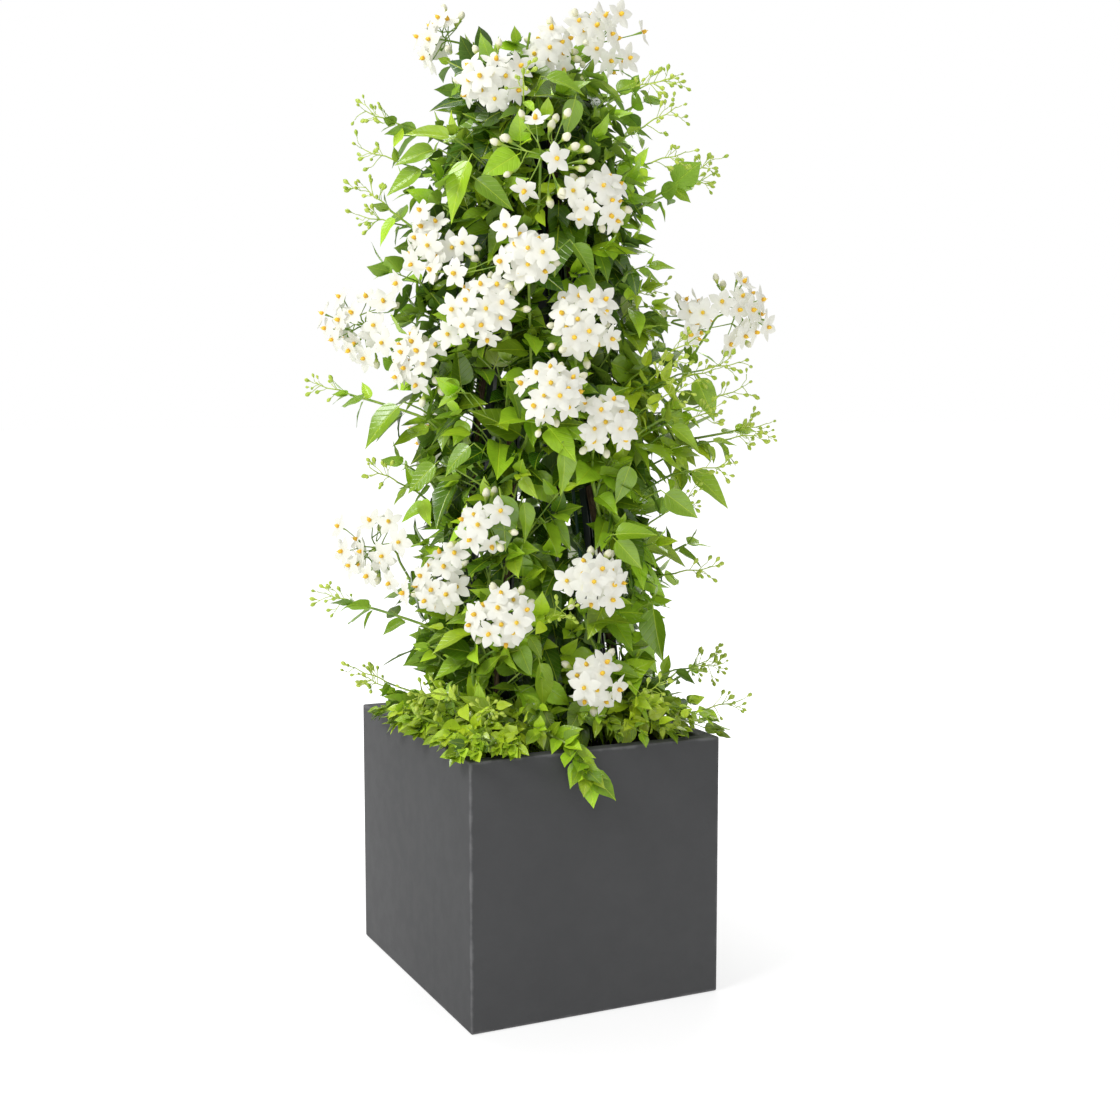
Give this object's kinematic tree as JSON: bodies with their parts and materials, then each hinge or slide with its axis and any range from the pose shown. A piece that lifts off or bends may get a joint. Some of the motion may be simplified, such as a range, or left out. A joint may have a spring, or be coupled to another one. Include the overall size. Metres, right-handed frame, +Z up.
{
  "type": "potted potato vine",
  "caption": "White-flowered potato vine climbing a support of leaning uprights in a square, straight-sided fibre-concrete planter.",
  "frame": {"origin": "centre of the planter's underside, on the ground", "axes": "+Z up, +X along the planter's narrow side, +Y along its deep side; the plant's show side looks towards -Y, turned 25.3 degrees about +Z"},
  "size_m": [0.5092, 0.3933, 1.103],
  "materials": {
    "planter": "fibre-concrete, smooth matt anthracite with a faint mottle and paler edges",
    "soil": "dark crumbly potting soil",
    "upright": "green-black coated channel, satin",
    "cane": "dark green coated rod, satin",
    "stem": "brown woody bark with fine ridges",
    "foliage": "living green leaf and shoot, half glossy",
    "blossom": "white petals with a yellow cone of anthers, on thin green stalks"
  },
  "bodies": {
    "root": {"planter": "planter", "soil": "soil", "upright_1": "upright", "upright_2": "upright", "upright_3": "upright", "upright_4": "upright", "cane_1": "cane", "cane_2": "cane", "cane_3": "cane", "tie": "cane", "stem_1": "stem", "stem_2": "stem", "stem_3": "stem", "stem_4": "stem", "flower_head_01": "blossom", "flower_head_02": "blossom", "flower_head_03": "blossom", "flower_head_04": "blossom", "flower_head_05": "blossom", "flower_head_06": "blossom", "flower_head_07": "blossom", "flower_head_08": "blossom", "flower_head_09": "blossom", "flower_head_10": "blossom", "flower_head_11": "blossom", "flower_head_12": "blossom", "flower_head_13": "blossom", "flower_head_14": "blossom", "flower_head_15": "blossom", "flower_head_16": "blossom", "flower_head_17": "blossom", "flower_head_18": "blossom", "flower_head_19": "blossom", "flower_head_20": "blossom", "flower_head_21": "blossom", "flower_head_22": "blossom", "flower_head_23": "blossom", "shoot_01": "foliage", "shoot_02": "foliage", "shoot_03": "foliage", "shoot_04": "foliage", "shoot_05": "foliage", "shoot_06": "foliage", "shoot_07": "foliage", "shoot_08": "foliage", "shoot_09": "foliage", "shoot_10": "foliage", "shoot_11": "foliage", "shoot_12": "foliage", "shoot_13": "foliage", "shoot_14": "foliage", "shoot_15": "foliage", "shoot_16": "foliage", "shoot_17": "foliage", "low_shoot_1": "foliage", "low_shoot_2": "foliage", "low_shoot_3": "foliage", "low_shoot_4": "foliage", "low_shoot_5": "foliage", "low_shoot_6": "foliage"}
  },
  "joints": []
}
